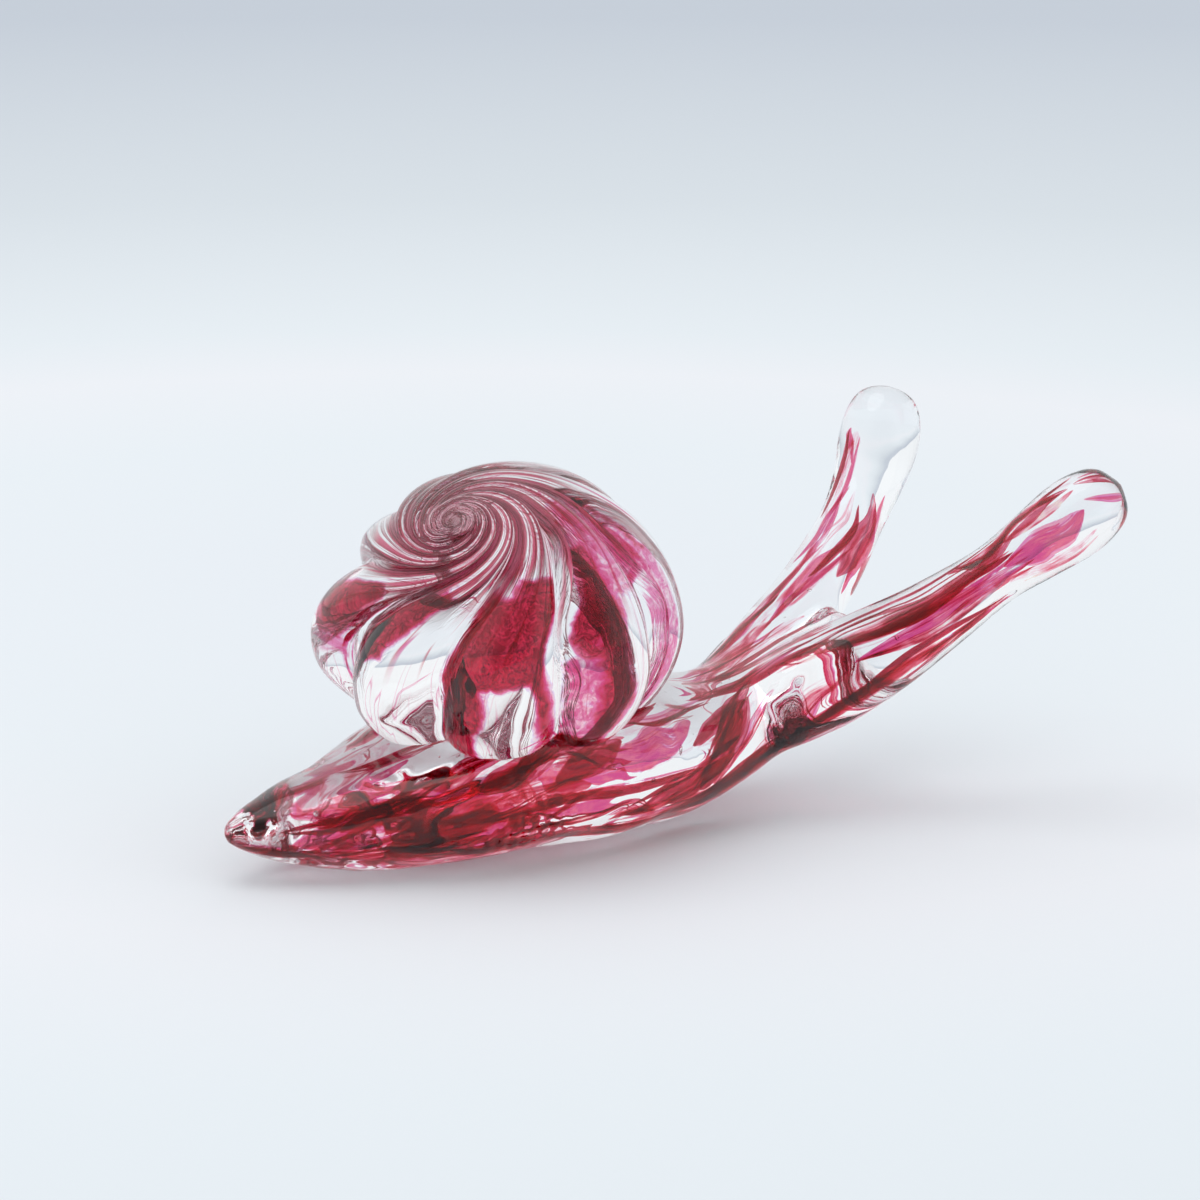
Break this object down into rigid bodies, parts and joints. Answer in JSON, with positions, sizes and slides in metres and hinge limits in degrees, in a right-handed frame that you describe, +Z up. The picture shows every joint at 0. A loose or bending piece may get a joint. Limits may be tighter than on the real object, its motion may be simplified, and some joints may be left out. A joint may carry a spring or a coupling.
{
  "type": "snail figurine",
  "caption": "Solid glass snail: fluted, twisted ball shell on a drawn-out foot with long bulb-ended tentacles, clear glass with ruby streaks inside.",
  "frame": {"origin": "on the foot's flat resting face, under the middle of the shell", "axes": "+X towards the head and tentacles, +Y to the snail's left, +Z up"},
  "size_m": [0.1972, 0.0925, 0.0827],
  "materials": {
    "clear_glass": "fire polished, clear",
    "ruby_glass": "transparent ruby, cased in clear glass"
  },
  "bodies": {
    "root": {"foot_casing": "clear_glass", "tail_streak": "ruby_glass", "right_foot_streak": "ruby_glass", "left_foot_streak": "ruby_glass", "neck_streak": "ruby_glass", "right_tentacle": "clear_glass", "right_tentacle_streak": "ruby_glass", "left_tentacle": "clear_glass", "left_tentacle_streak": "ruby_glass", "shell_casing": "clear_glass", "shell_ruby_coat": "ruby_glass", "shell_core": "clear_glass"}
  },
  "joints": []
}
